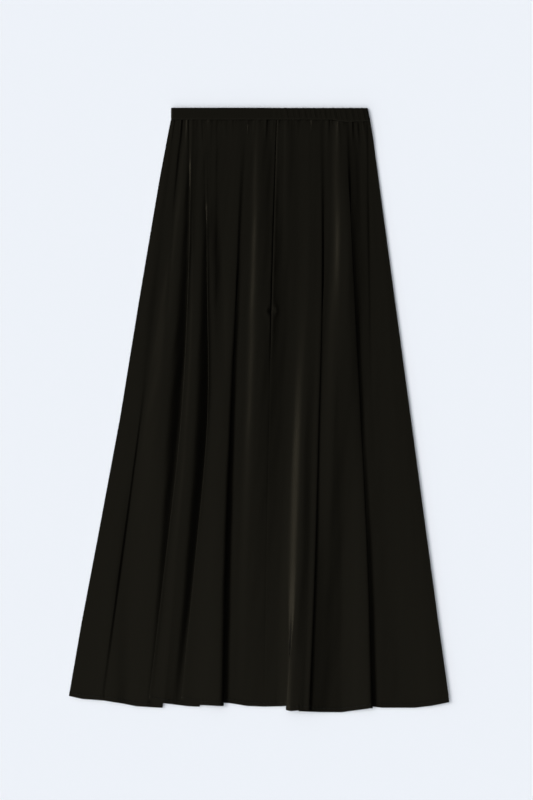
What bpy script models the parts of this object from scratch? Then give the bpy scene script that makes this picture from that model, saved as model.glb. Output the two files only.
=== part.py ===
"""A satin maxi skirt with an elastic waist, laid flat on its back panel.

Sizes are in millimetres and turned into metres where the meshes are made. X runs across the skirt, Y from the
hem up to the waist and Z up from the surface it lies on. The origin is under the middle of the skirt's box.
Each front panel is a wall that follows a centre line across the skirt, from row to row down to the hem. Where
the cloth is folded over itself the centre line turns back under the upper layer and then forward again.
"""
from collections import namedtuple
import math

import bmesh
import bpy
import numpy as np

MM = 0.001
CLOTH_WALL = 1.0
SEAM_GAP = 0.3
SEAM_REACH = 2.5
WAIST_PITCH = 1.5
FOLD_PITCH = 1.9
BAND_TOP_Y = 500.0
BAND_SEAM_Y = 480.4
BAND_WALL = 2.4
BAND_EDGE_ROUND = 0.7
SKIRT_DROP = 970.0
WAIST_BASE_Z = 3.3
LAID_BASE_Z = 1.9
WAIST_BLEND = 60.0
BACK_SIDE_INSET = 0.8

# how the cloth turns at a fold
SOFT_SLOPE = 5.0
CRISP_TUCK = 3.0
FLAT_MARGIN = 1.2
LONGEST_HIDDEN = 0.4
TURN_STEPS = 3
TUCK_STEPS = 4

# distances below the band seam at which the tables give their values
STATIONS = (0.0, 250.0, 500.0, 750.0, 970.0)
ROWS = (0.0, 0.008, 0.024, 0.045, 0.075, 0.12, 0.18, 0.25, 0.33, 0.41,
        0.5, 0.58, 0.66, 0.74, 0.81, 0.86, 0.9, 0.95, 1.0)
WAIST_COLUMN = 4.0
HEM_COLUMN = 9.5
HIDDEN_COLUMNS = 4

SideRow = namedtuple("SideRow", "below left right")
SIDES = (
    SideRow(0, -145.7, 183.8),
    SideRow(25, -150.7, 188.2),
    SideRow(100, -164.6, 198.2),
    SideRow(300, -197.8, 224.8),
    SideRow(500, -229.6, 251.6),
    SideRow(700, -266.2, 278.1),
    SideRow(850, -294.2, 298.0),
    SideRow(970, -314.6, 314.6),
)

# the band seam steps down where the elastic bunches the cloth
SeamPoint = namedtuple("SeamPoint", "x y")
BAND_SEAM = (
    SeamPoint(-150, 480.4),
    SeamPoint(122, 480.4),
    SeamPoint(132, 477.6),
    SeamPoint(146, 476.8),
    SeamPoint(190, 478.0),
)

# a lap is a fold whose upper layer comes from the left or the right; edge is where its crease lies at each
# station, tuck is how far the lower layer runs on under it, with a negative tuck for a slope that is not yet
# folded, fall is how wide a stretch the upper layer takes to come down again and soft_rise is the height of
# the slope
Lap = namedtuple("Lap", "name upper edge tuck fall soft_rise")
LEFT_LAPS = (
    Lap("side_pleat", "left", (-136, -167, -197, -230, -260), (-9, -24, -6, -4, -8),
        (40, 40, 40, 40, 40), (0.5, 0.5, 0.7, 0.6, 0.6)),
    Lap("outer_pleat", "right", (-113, -116.8, -129, -156.5, -182.5), (-4, 6, 9, 16, 23),
        (20, 22, 24, 26, 30), (0.6, 0.6, 0.6, 0.6, 0.6)),
    Lap("deep_pleat", "right", (-88, -86, -85.6, -107.3, -129), (-10, 5, 10, 20, 31),
        (20, 20, 20, 16, 16), (0.4, 0.6, 0.6, 0.6, 0.6)),
    Lap("inner_pleat", "left", (-27, -36, -46.3, -54.8, -58.5), (-14, -2, 9, 16, 24),
        (40, 50, 60, 60, 60), (0.1, 0.4, 0.5, 0.5, 0.5)),
)
RIGHT_LAPS = (
    Lap("roll_left_edge", "right", (80, 78, 66, 59, 44.5), (-18, -18, -18, -20, 18),
        (45, 45, 50, 50, 50), (0.2, 1.0, 2.4, 2.6, 2.4)),
    Lap("roll_right_edge", "left", (103, 105, 100, 93.5, 85), (-12, -2, 9, 14, 19.4),
        (45, 45, 50, 50, 50), (0.2, 0.8, 1.8, 1.8, 1.8)),
    Lap("right_pleat", "left", (144.5, 156.6, 169.7, 181.3, 188), (-6, 5, 9, 16, 22),
        (20, 24, 30, 30, 30), (0, 0.5, 0.6, 0.6, 0.6)),
)

# swells lift the cloth with all its layers; each has a top line and a width on its left and right at each
# station
Swell = namedtuple("Swell", "name top left_width right_width height")
SWELLS = (
    Swell("left_side", (-144, -176, -206, -238, -266), (8, 16, 40, 60, 60),
          (6, 12, 18, 14, 10), (0.1, 0.3, 1.2, 1.0, 0.4)),
    Swell("hem_wave", (-170, -195, -215, -230, -240), (10, 16, 24, 30, 34),
          (10, 14, 18, 20, 26), (0, 0, 0, 0.2, 1.6)),
    Swell("waist_pleat", (-131, -152, -165, -180, -190), (8, 16, 16, 16, 16),
          (5, 7, 8, 8, 8), (0.8, 0.4, 0, 0, 0)),
    Swell("dark_shoulder", (-116, -134, -155, -169, -188), (6, 26, 56, 60, 44),
          (5, 23, 38, 22, 14), (0.3, 3.0, 6.0, 3.4, 1.0)),
    Swell("second_line", (-110.5, -116, -126, -150, -170), (4, 5, 6, 6, 6),
          (4, 4, 5, 6, 6), (0.25, 0.2, 0, 0, 0)),
    Swell("middle_shoulder", (-92, -96, -106, -124, -144), (8, 18, 30, 40, 40),
          (6, 16, 28, 20, 14), (0.2, 2.0, 4.8, 3.2, 0.7)),
    Swell("short_line", (-71.5, -73, -74, -84, -94), (7, 8, 9, 9, 9),
          (3.5, 4, 5, 5, 5), (0.25, 0.1, 0, 0, 0)),
    Swell("inner_shoulder", (-30, -40, -52, -62, -66), (16, 26, 36, 46, 50),
          (9, 11, 14, 18, 18), (0.1, 1.0, 2.4, 3.2, 3.0)),
    Swell("soft_ridge", (0, -1, -8, -18, -24), (9, 17, 18, 16, 14),
          (24, 50, 56, 50, 46), (0.8, 3.0, 2.9, 1.2, 0)),
    Swell("seam_gather", (45.5, 44, 44, 44, 44), (5, 6, 6, 6, 6), (16, 20, 20, 20, 20), (0.7, 0, 0, 0, 0)),
    Swell("wide_roll", (92, 90, 78, 62, 52), (18, 30, 32, 28, 24),
          (40, 60, 80, 100, 100), (0, 0.4, 2.0, 3.0, 3.0)),
    Swell("bright_roll", (90, 87, 76, 68, 54), (16, 22, 24, 18, 10),
          (40, 60, 80, 80, 70), (0, 0.1, 0.5, 1.4, 2.3)),
    Swell("roll_edge", (100, 102, 97, 90.5, 82), (8, 8, 8, 8, 8), (6, 6, 6, 6, 6), (0, 0.3, 0.6, 0.7, 0.7)),
    Swell("fading_ridge", (134, 136.5, 125.5, 118, 118), (13, 21, 26, 22, 18),
          (44, 52, 52, 44, 44), (1.5, 3.6, 3.0, 0.2, 0)),
    Swell("right_shoulder", (143, 155, 167, 177.5, 183), (10, 12, 18, 26, 30),
          (6, 7, 9, 13, 14), (0, 0.25, 0.6, 1.5, 2.0)),
    Swell("faint_line", (177, 179.5, 184, 200, 216), (12, 14, 16, 16, 16),
          (4, 5, 7, 8, 8), (0.25, 0.4, 0.1, 0, 0)),
    Swell("right_side", (184, 218, 252, 285, 315), (30, 60, 70, 80, 80),
          (20, 20, 20, 20, 20), (0.4, 1.3, 1.8, 2.2, 2.6)),
)

# small gathers under the band, which die away down the skirt
Gather = namedtuple("Gather", "x half_width height length")
LEFT_GATHERS = (
    Gather(-140.5, 4.0, 0.2, 60),
    Gather(-128.0, 3.0, 0.45, 70),
    Gather(-118.5, 3.0, 0.45, 60),
    Gather(-97.0, 3.5, 0.3, 60),
    Gather(-80.5, 3.5, 0.25, 50),
    Gather(-56.0, 4.0, 0.25, 40),
    Gather(-45.0, 3.5, 0.25, 30),
    Gather(-28.5, 3.0, 0.55, 110),
    Gather(-18.5, 3.5, 0.3, 40),
    Gather(-7.5, 3.5, 0.45, 55),
    Gather(12.0, 3.5, 0.4, 45),
    Gather(23.0, 3.5, 0.3, 50),
)
RIGHT_GATHERS = (
    Gather(63.5, 4.0, 0.2, 40),
    Gather(84.5, 4.0, 0.35, 40),
    Gather(114.0, 4.0, 0.3, 45),
    Gather(130.5, 4.0, 0.25, 90),
    Gather(153.0, 3.5, 0.3, 45),
    Gather(161.5, 3.5, 0.3, 50),
    Gather(172.0, 3.5, 0.25, 45),
)

# the centre seam's place at each station
CENTRE_SEAM = (29.8, 22.4, 16.6, 11.6, 8.3)

# the hem's outline on each stretch between two laps
HemPoint = namedtuple("HemPoint", "x y")
LEFT_HEM = (
    (HemPoint(-314.6, -473), HemPoint(-293, -478), HemPoint(-258, -480.4)),
    (HemPoint(-258, -480.4), HemPoint(-227, -485.3), HemPoint(-204, -490), HemPoint(-156, -493)),
    (HemPoint(-182, -480), HemPoint(-154, -485.3), HemPoint(-118, -490), HemPoint(-96, -491)),
    (HemPoint(-127.5, -481), HemPoint(-96, -487.6), HemPoint(-58, -489.6)),
    (HemPoint(-84, -482), HemPoint(-48, -485), HemPoint(-20, -489.6), HemPoint(8.3, -490.8)),
)
RIGHT_HEM = (
    (HemPoint(8.3, -490.8), HemPoint(38, -490), HemPoint(65, -487)),
    (HemPoint(43.7, -495.5), HemPoint(52, -497.4), HemPoint(62, -496.4), HemPoint(84.6, -495.6)),
    (HemPoint(64, -497.6), HemPoint(104, -499.6), HemPoint(137, -500), HemPoint(190.4, -492)),
    (HemPoint(167, -488), HemPoint(204, -492.6), HemPoint(257, -492.6), HemPoint(286, -489),
     HemPoint(314.6, -483)),
)

# the back panel's hem, a little short of the front's so that it stays hidden
BACK_HEM = (
    HemPoint(-313.8, -468),
    HemPoint(-290, -472),
    HemPoint(-227, -478.5),
    HemPoint(-154, -480.5),
    HemPoint(-96, -481),
    HemPoint(-48, -481.5),
    HemPoint(0, -486),
    HemPoint(50, -489),
    HemPoint(100, -492),
    HemPoint(150, -492),
    HemPoint(200, -487.5),
    HemPoint(260, -486),
    HemPoint(295, -480),
    HemPoint(313.8, -472),
)

# the elastic crinkles the right two thirds of the band
CRINKLE_START = -2.0
CRINKLE_EASE = 60.0
CRINKLE_PITCH = 9.0
CRINKLE_HEIGHT = 0.45
SCALLOP_HEIGHT = 0.8
BAND_COLUMN = 3.6
BAND_TOP_RIGHT = 179.6


def smoothstep(low, high, value):
    """Rise from 0 to 1 between low and high."""
    share = np.clip((value - low) / (high - low), 0.0, 1.0)
    return share * share * (3.0 - 2.0 * share)


def along(values, below):
    """A value between the stations, on a smooth curve through its five table entries."""
    slopes = np.gradient(np.array(values, dtype=float), np.array(STATIONS))
    k = min(int(np.searchsorted(STATIONS, below, side="right")) - 1, len(STATIONS) - 2)
    span = STATIONS[k + 1] - STATIONS[k]
    t = (below - STATIONS[k]) / span
    start = (1 + 2 * t) * (1 - t) ** 2 * values[k] + t * (1 - t) ** 2 * span * slopes[k]
    end = t * t * (3 - 2 * t) * values[k + 1] - t * t * (1 - t) * span * slopes[k + 1]
    return float(start + end)


def side_x(below):
    """Left and right outline of the skirt at a distance below the band."""
    rows = [row.below for row in SIDES]
    return (float(np.interp(below, rows, [row.left for row in SIDES])),
            float(np.interp(below, rows, [row.right for row in SIDES])))


def seam_y(x):
    """Height of the band seam at a place across the waist."""
    return float(np.interp(x, [p.x for p in BAND_SEAM], [p.y for p in BAND_SEAM]))


def panel_top_y(x):
    """Height of a front panel's top edge, clear of the band's edge for a little way on both sides."""
    return min(seam_y(x - SEAM_REACH), seam_y(x), seam_y(x + SEAM_REACH)) - SEAM_GAP


def fold_pitch(below):
    """Distance between the centres of two layers in a lap, flatter at the band."""
    return WAIST_PITCH + (FOLD_PITCH - WAIST_PITCH) * float(smoothstep(0.0, 2 * WAIST_BLEND, below))


def base_z(below):
    """Centre height of the lowest front layer, which comes down from the band to the back panel."""
    return WAIST_BASE_Z + (LAID_BASE_Z - WAIST_BASE_Z) * float(smoothstep(0.0, WAIST_BLEND, below))


def crispness(tuck):
    """0 for a soft slope and 1 for a pressed fold."""
    return float(smoothstep(-CRISP_TUCK, CRISP_TUCK, tuck))


def lap_rise(lap, below):
    """Height of a lap's upper layer over its lowest one, all three layers high as soon as it folds."""
    folded = float(smoothstep(-CRISP_TUCK, 0.0, along(lap.tuck, below)))
    return along(lap.soft_rise, below) * (1.0 - folded) + 2.0 * fold_pitch(below) * folded


def lap_fall(lap, below, share, steep):
    """Height that is left of a lap's rise on its way down; a steep fall leaves a crisp crease at once."""
    share = min(max(share, 0.0), 1.0)
    steepness = float(smoothstep(0.0, 2.0 * CRISP_TUCK, along(lap.tuck, below))) if steep else 0.0
    gentle = 1.0 - float(smoothstep(0.0, 1.0, share))
    return lap_rise(lap, below) * (gentle + ((1.0 - share) ** 2 - gentle) * steepness)


def lap_line(lap, below, turn_steps):
    """Centre line through a lap from left to right, as (x, height over the lowest layer) pairs."""
    tuck = along(lap.tuck, below)
    pitch = fold_pitch(below)
    crisp = crispness(tuck)
    rise = lap_rise(lap, below)
    turn = pitch / 2.0
    reach = max(tuck, 2.2 * turn)
    folded = []
    for step in range(turn_steps + 1):
        angle = math.radians(90.0 - 180.0 * step / turn_steps)
        folded.append((turn * math.cos(angle) - turn, 0.75 + 0.25 * math.sin(angle)))
    for step in range(1, TUCK_STEPS):
        folded.append((-turn + (2.0 * turn - reach) * step / TUCK_STEPS, 0.5))
    for step in range(turn_steps + 1):
        angle = math.radians(90.0 + 180.0 * step / turn_steps)
        folded.append((turn * math.cos(angle) - reach + turn, 0.25 + 0.25 * math.sin(angle)))
    slope = max(-tuck, SOFT_SLOPE)
    line = []
    for index, (x, height) in enumerate(folded):
        share = index / (len(folded) - 1)
        slope_x = slope * (share - 0.35)
        slope_height = 1.0 - float(smoothstep(0.0, 1.0, share))
        mixed_height = slope_height + (height - slope_height) * crisp
        line.append((slope_x + (x - slope_x) * crisp, mixed_height * rise))
    edge = along(lap.edge, below)
    if lap.upper == "left":
        return [(edge + x, height) for x, height in line]
    return [(edge - x, height) for x, height in reversed(line)]


def swell_height(x, below):
    """Height that all the swells add at x."""
    total = 0.0
    for swell in SWELLS:
        height = along(swell.height, below)
        if height > 0.0:
            top = along(swell.top, below)
            width = along(swell.left_width if x < top else swell.right_width, below)
            total += height * math.cos(min(abs(x - top) / width, 1.0) * math.pi / 2.0) ** 2
    return total


class FrontHalf:
    """One front panel: its laps and gathers, and the centre lines across it."""

    def __init__(self, side, laps, gathers, hem):
        self.side = side
        self.laps = laps
        self.gathers = gathers
        self.hem = hem
        self.columns = [self.zone_fractions(index) for index in range(len(laps) + 1)]

    def borders(self, below):
        left, right = side_x(below)
        seam = along(CENTRE_SEAM, below)
        if self.side == "left":
            return left, seam - SEAM_GAP / 2.0
        return seam + SEAM_GAP / 2.0, right

    def zones(self, index, below):
        """A stretch between two laps: its start, where each lap's flat part ends, and the stretch's end."""
        start, end = self.borders(below)
        hidden_start = hidden_end = 0.0
        if index > 0:
            start = lap_line(self.laps[index - 1], below, TURN_STEPS)[-1][0]
            hidden_start = max(along(self.laps[index - 1].tuck, below), 0.0) + FLAT_MARGIN
        if index < len(self.laps):
            end = lap_line(self.laps[index], below, TURN_STEPS)[0][0]
            hidden_end = max(along(self.laps[index].tuck, below), 0.0) + FLAT_MARGIN
        room = (end - start) * LONGEST_HIDDEN
        return start, start + min(hidden_start, room), end - min(hidden_end, room), end

    def zone_fractions(self, index):
        """Columns of a stretch as (zone, fraction) pairs."""
        waist = self.zones(index, 0.0)
        hem = self.zones(index, SKIRT_DROP)
        waist_count = math.ceil((waist[2] - waist[1]) / WAIST_COLUMN)
        hem_count = math.ceil((hem[2] - hem[1]) / HEM_COLUMN)
        count = max(waist_count, hem_count, 3)
        pairs = []
        if index > 0:
            pairs += [(0, k / HIDDEN_COLUMNS) for k in range(1, HIDDEN_COLUMNS)]
        pairs += [(1, k / count) for k in range(count + 1)]
        if index < len(self.laps):
            pairs += [(2, k / HIDDEN_COLUMNS) for k in range(1, HIDDEN_COLUMNS)]
        return pairs

    def places(self, index, below):
        """Column places across a stretch."""
        zones = self.zones(index, below)
        columns = self.columns[index]
        return [zones[zone] + fraction * (zones[zone + 1] - zones[zone]) for zone, fraction in columns]

    def gather_height(self, waist_x, below):
        """Height of the small gathers on the column that starts at waist_x."""
        total = 0.0
        for gather in self.gathers:
            if abs(waist_x - gather.x) < gather.half_width:
                fade = float(smoothstep(gather.length, 0.0, below))
                turn = (waist_x - gather.x) / gather.half_width * math.pi / 2.0
                total += gather.height * fade * math.cos(turn) ** 2
        return total

    def level(self, index, x, below):
        """Height of a stretch over the lowest layer, from the laps at its two ends."""
        _, from_x, to_x, _ = self.zones(index, below)
        height = 0.0
        falls_right = index > 0 and self.laps[index - 1].upper == "right"
        falls_left = index < len(self.laps) and self.laps[index].upper == "left"
        if falls_right:
            lap = self.laps[index - 1]
            fall = min(along(lap.fall, below), to_x - from_x)
            height += lap_fall(lap, below, (x - from_x) / fall, steep=not falls_left)
        if falls_left:
            lap = self.laps[index]
            fall = min(along(lap.fall, below), to_x - from_x)
            height += lap_fall(lap, below, (to_x - x) / fall, steep=False)
        return height

    def row(self, below):
        """Centre line of the cloth across the panel, as (x, z) pairs."""
        base = base_z(below)
        points = []
        for index in range(len(self.laps) + 1):
            for x, waist_x in zip(self.places(index, below), self.places(index, 0.0)):
                height = self.level(index, x, below) + swell_height(x, below)
                points.append((x, base + height + self.gather_height(waist_x, below)))
            if index < len(self.laps):
                for x, height in lap_line(self.laps[index], below, TURN_STEPS):
                    points.append((x, base + height + swell_height(x, below)))
        return points

    def hem_line(self):
        """Where each column of the row ends at the hem."""
        result = []
        for index, points in enumerate(self.hem):
            known = [p.x for p in points], [p.y for p in points]
            result += [float(np.interp(x, *known)) for x in self.places(index, SKIRT_DROP)]
            if index < len(self.laps):
                line = lap_line(self.laps[index], SKIRT_DROP, TURN_STEPS)
                after = self.hem[index + 1]
                before_y = result[-1]
                after_y = float(np.interp(line[-1][0], [p.x for p in after], [p.y for p in after]))
                result += [before_y + (after_y - before_y) * k / (len(line) - 1) for k in range(len(line))]
        return result

    def sheet(self):
        """Grid of points, one list for each row from the band seam to the hem."""
        hem = self.hem_line()
        top = [panel_top_y(x) for x, _ in self.row(0.0)]
        grid = []
        for share in ROWS:
            line = self.row(share * SKIRT_DROP)
            grid.append([(x, top[j] + (hem[j] - top[j]) * share, z) for j, (x, z) in enumerate(line)])
        return grid


def new_collection(name):
    collection = bpy.data.collections.new(name)
    bpy.context.scene.collection.children.link(collection)
    return collection


def satin(name, colour, roughness):
    """A dark satin in the cloth's own colour."""
    material = bpy.data.materials.new(name)
    material.use_nodes = True
    shader = material.node_tree.nodes["Principled BSDF"]
    shader.inputs["Base Color"].default_value = (*colour, 1.0)
    shader.inputs["Roughness"].default_value = roughness
    shader.inputs["Metallic"].default_value = 0.0
    material.diffuse_color = (*colour, 1.0)
    return material


def place(name, mesh, material, collection):
    piece = bpy.data.objects.new(name, mesh)
    mesh.materials.append(material)
    collection.objects.link(piece)
    return piece


def loft(name, rings, closed):
    """Skin rows of points that have the same count; closed joins the last row and point to the first ones."""
    shape = bmesh.new()
    grid = [[shape.verts.new((x * MM, y * MM, z * MM)) for x, y, z in ring] for ring in rings]
    row_count = len(grid)
    point_count = len(grid[0])
    for i in range(row_count if closed else row_count - 1):
        for j in range(point_count if closed else point_count - 1):
            a, b = grid[i][j], grid[i][(j + 1) % point_count]
            c, d = grid[(i + 1) % row_count][(j + 1) % point_count], grid[(i + 1) % row_count][j]
            shape.faces.new((a, b, c, d))
    mesh = bpy.data.meshes.new(name)
    shape.to_mesh(mesh)
    shape.free()
    return mesh


def make_front(half, name, material, collection):
    """A front panel: its centre sheet, given the cloth's wall."""
    piece = place(name, loft(name, half.sheet(), closed=False), material, collection)
    wall = piece.modifiers.new("cloth wall", "SOLIDIFY")
    wall.thickness = CLOTH_WALL * MM
    wall.offset = 0.0
    wall.use_even_offset = True
    wall.use_quality_normals = True
    wall.thickness_clamp = 0.0
    return piece


def back_outline():
    """The back panel's outline: down the right side, along the hem and up the left side."""
    rows = [row for row in SIDES if row.below < SKIRT_DROP]
    points = [(row.right - BACK_SIDE_INSET, BAND_SEAM_Y - SEAM_GAP - row.below) for row in rows]
    points += [(point.x, point.y) for point in reversed(BACK_HEM)]
    points += [(row.left + BACK_SIDE_INSET, BAND_SEAM_Y - SEAM_GAP - row.below) for row in reversed(rows)]
    return points


def make_back(material, collection):
    """The back panel lies flat on the surface, a little short of the front at the hem."""
    curve = bpy.data.curves.new("back_panel", "CURVE")
    curve.dimensions = "2D"
    curve.fill_mode = "BOTH"
    curve.extrude = CLOTH_WALL / 2.0 * MM
    outline = back_outline()
    spline = curve.splines.new("POLY")
    spline.points.add(len(outline) - 1)
    for point, (x, y) in zip(spline.points, outline):
        point.co = (x * MM, y * MM, 0.0, 1.0)
    spline.use_cyclic_u = True
    curve.materials.append(material)
    piece = bpy.data.objects.new("back_panel", curve)
    piece.location = (0.0, 0.0, CLOTH_WALL / 2.0 * MM)
    collection.objects.link(piece)
    return piece


def crinkle(x):
    """Uneven small waves that the elastic pulls into the band, from -1 to 1."""
    strength = float(smoothstep(CRINKLE_START, CRINKLE_START + CRINKLE_EASE, x))
    phase = 2.0 * math.pi * x / CRINKLE_PITCH
    return strength * (0.6 * math.sin(phase + 1.3 * math.sin(x / 17.0)) + 0.4 * math.sin(phase * 0.57 + 2.0))


def band_loop():
    """Centre line round the flattened band seen from its top: (x, z, outward x, outward z, front share)."""
    left, right = side_x(0.0)
    turn = (BAND_WALL + SEAM_GAP) / 2.0
    count = round((right - left) / BAND_COLUMN)
    inner_left = left + BAND_WALL / 2.0 + turn
    inner_right = right - BAND_WALL / 2.0 - turn
    loop = []
    for k in range(count + 1):
        loop.append((inner_left + (inner_right - inner_left) * k / count, turn, 0.0, 1.0, 1.0))
    for angle in (60.0, 30.0, 0.0, -30.0, -60.0):
        turned = math.radians(angle)
        loop.append((inner_right + turn * math.cos(turned), turn * math.sin(turned),
                     math.cos(turned), math.sin(turned), (math.sin(turned) + 1.0) / 2.0))
    back_count = count // 4
    for k in range(back_count + 1):
        loop.append((inner_right + (inner_left - inner_right) * k / back_count, -turn, 0.0, -1.0, 0.0))
    for angle in (240.0, 210.0, 180.0, 150.0, 120.0):
        turned = math.radians(angle)
        loop.append((inner_left + turn * math.cos(turned), turn * math.sin(turned),
                     math.cos(turned), math.sin(turned), (math.sin(turned) + 1.0) / 2.0))
    return loop


def band_rings():
    """Sections of the band's wall round its loop, each a rounded strip."""
    left, right = side_x(0.0)
    half = BAND_WALL / 2.0
    middle = half + (BAND_WALL + SEAM_GAP) / 2.0
    rings = []
    for x, z, out_x, out_z, front in band_loop():
        wave = crinkle(x) * front
        top = BAND_TOP_Y - SCALLOP_HEIGHT * (0.5 - 0.5 * wave) * float(smoothstep(0.0, 1.0, front)) * \
            float(smoothstep(CRINKLE_START, CRINKLE_START + CRINKLE_EASE, x))
        bottom = BAND_SEAM_Y + (seam_y(x) - BAND_SEAM_Y) * front
        lift = CRINKLE_HEIGHT * max(wave, 0.0)
        section = (
            (-half, bottom),
            (-half, top - BAND_EDGE_ROUND),
            (-half + BAND_EDGE_ROUND, top),
            (half - BAND_EDGE_ROUND, top),
            (half, top - BAND_EDGE_ROUND),
            (half + lift, (top + bottom) / 2.0 + 3.0),
            (half + lift, (top + bottom) / 2.0 - 4.0),
            (half, bottom),
        )
        ring = []
        for outward, y in section:
            lean = (right - BAND_TOP_RIGHT) * (y - BAND_SEAM_Y) / (BAND_TOP_Y - BAND_SEAM_Y)
            pull = lean * float(smoothstep(left, right, x))
            ring.append((x + out_x * outward - pull, y, middle + z + out_z * outward))
        rings.append(ring)
    return rings


def make_band(material, collection):
    """The waistband casing, one closed loop that is laid flat, its front wall on its back wall."""
    mesh = loft("waistband", band_rings(), closed=True)
    shape = bmesh.new()
    shape.from_mesh(mesh)
    bmesh.ops.recalc_face_normals(shape, faces=shape.faces[:])
    shape.to_mesh(mesh)
    shape.free()
    return place("waistband", mesh, material, collection)


def main():
    for piece in list(bpy.data.objects):
        bpy.data.objects.remove(piece, do_unlink=True)
    collection = new_collection("satin_maxi_skirt")
    panel_satin = satin("panel satin", (0.0075, 0.0068, 0.0052), 0.42)
    back_satin = satin("back satin", (0.0068, 0.0062, 0.0048), 0.46)
    band_satin = satin("band satin", (0.0082, 0.0075, 0.006), 0.5)
    left_half = FrontHalf("left", LEFT_LAPS, LEFT_GATHERS, LEFT_HEM)
    right_half = FrontHalf("right", RIGHT_LAPS, RIGHT_GATHERS, RIGHT_HEM)
    make_front(left_half, "front_left_panel", panel_satin, collection)
    make_front(right_half, "front_right_panel", panel_satin, collection)
    make_back(back_satin, collection)
    make_band(band_satin, collection)


main()
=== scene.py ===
import math
from collections import namedtuple

import bmesh
import bpy
import numpy as np
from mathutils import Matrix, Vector


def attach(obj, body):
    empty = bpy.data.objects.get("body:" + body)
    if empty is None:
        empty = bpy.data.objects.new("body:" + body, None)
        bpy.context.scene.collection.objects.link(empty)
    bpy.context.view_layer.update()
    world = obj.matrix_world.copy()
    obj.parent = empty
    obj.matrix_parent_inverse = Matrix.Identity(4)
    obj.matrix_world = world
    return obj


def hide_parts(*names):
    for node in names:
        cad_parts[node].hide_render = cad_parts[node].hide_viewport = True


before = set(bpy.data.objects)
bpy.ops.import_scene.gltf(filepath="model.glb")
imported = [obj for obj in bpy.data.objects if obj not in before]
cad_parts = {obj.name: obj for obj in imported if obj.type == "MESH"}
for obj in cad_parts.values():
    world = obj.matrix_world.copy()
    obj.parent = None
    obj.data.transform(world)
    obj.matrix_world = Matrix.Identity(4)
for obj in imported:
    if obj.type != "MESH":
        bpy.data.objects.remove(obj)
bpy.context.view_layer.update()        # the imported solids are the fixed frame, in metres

mm = 0.001
fullTurn = 6.28        # in radians, near enough for the small waves
print("stage: frame loaded")

# the cut and lay of the cloth, in millimetres, the same form as the solids
skirtLay = {
    "satin": 0.36,
    "seamGap": 0.06,
    "seamReach": 2.5,
    "waistPitch": 0.8,
    "foldPitch": 0.9,
    "bandTopY": 500.0,
    "bandSeamY": 480.4,
    "drop": 970.0,
    "waistBaseZ": 3.3,
    "laidBaseZ": 1.9,
    "waistBlend": 60.0,
    "softSlope": 5.0,
    "crispTuck": 3.0,
    "leastReturn": 2.2,
    "slopeStart": 0.35,
    "flatMargin": 1.2,
    "longestHidden": 0.4,
}

# how finely the visible cloth is drawn
fineness = {
    "turnSteps": 8,
    "tuckSteps": 6,
    "waistColumn": 1.3,
    "hemColumn": 2.4,
    "firstRow": 2.0,
    "lastRow": 9.0,
    "rowGrowth": 1.06,
    "hemRows": (10.0, 8.5, 7.4, 6.8, 6.2, 5.6, 4.4, 2.6, 1.0, 0.0),
    "tackReach": 12.0,
    "tackRow": 1.5,
    "hiddenColumns": 6,
    "sharpAngle": 50.0,
}

stations = (0.0, 250.0, 500.0, 750.0, 970.0)

SideRow = namedtuple("SideRow", "below left right")
sides = (
    SideRow(0, -145.7, 183.8),
    SideRow(25, -150.7, 188.2),
    SideRow(100, -164.6, 198.2),
    SideRow(300, -197.8, 224.8),
    SideRow(500, -229.6, 251.6),
    SideRow(700, -266.2, 278.1),
    SideRow(850, -294.2, 298.0),
    SideRow(970, -314.6, 314.6),
)

# the band seam steps down where the elastic bunches the cloth
SeamPoint = namedtuple("SeamPoint", "x y")
bandSeam = (
    SeamPoint(-150, 480.4),
    SeamPoint(122, 480.4),
    SeamPoint(132, 477.6),
    SeamPoint(146, 476.8),
    SeamPoint(190, 478.0),
)

# pleats: edge is the crease at each station, tuck is how far the lower layer runs on under it or, below zero,
# how wide the soft step is that takes its place, fall is how wide a stretch the upper layer takes to come
# down and softRise is how high the soft step is
Lap = namedtuple("Lap", "name upper edge tuck fall softRise")
leftLaps = (
    Lap("sidePleat", "left", (-136, -167, -197, -230, -260), (-9, -24, -6, -4, -8),
        (40, 40, 40, 40, 40), (0.5, 0.5, 0.7, 0.6, 0.6)),
    Lap("outerPleat", "right", (-113, -116.8, -129, -156.5, -182.5), (-4, 6, 9, 16, 23),
        (20, 22, 24, 26, 30), (0.6, 0.6, 0.6, 0.6, 0.6)),
    Lap("deepPleat", "right", (-88, -86, -85.6, -107.3, -129), (-10, 5, 10, 20, 31),
        (20, 20, 20, 16, 16), (0.4, 0.6, 0.6, 0.6, 0.6)),
    Lap("innerPleat", "left", (-27, -36, -46.3, -54.8, -58.5), (-14, -2, 9, 16, 24),
        (40, 50, 60, 60, 60), (0.1, 0.4, 0.5, 0.5, 0.5)),
)
rightLaps = (
    Lap("rollLeftEdge", "right", (80, 78, 66, 59, 44.5), (-18, -18, -18, -20, 18),
        (45, 45, 50, 50, 50), (0.2, 1.0, 2.4, 2.6, 2.4)),
    Lap("rollRightEdge", "left", (103, 105, 100, 93.5, 85), (-12, -2, 9, 14, 19.4),
        (45, 45, 50, 50, 50), (0.2, 0.8, 1.8, 1.8, 1.8)),
    Lap("rightPleat", "left", (144.5, 156.6, 169.7, 181.3, 188), (-6, 5, 9, 16, 22),
        (20, 24, 30, 30, 30), (0, 0.5, 0.6, 0.6, 0.6)),
)

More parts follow.
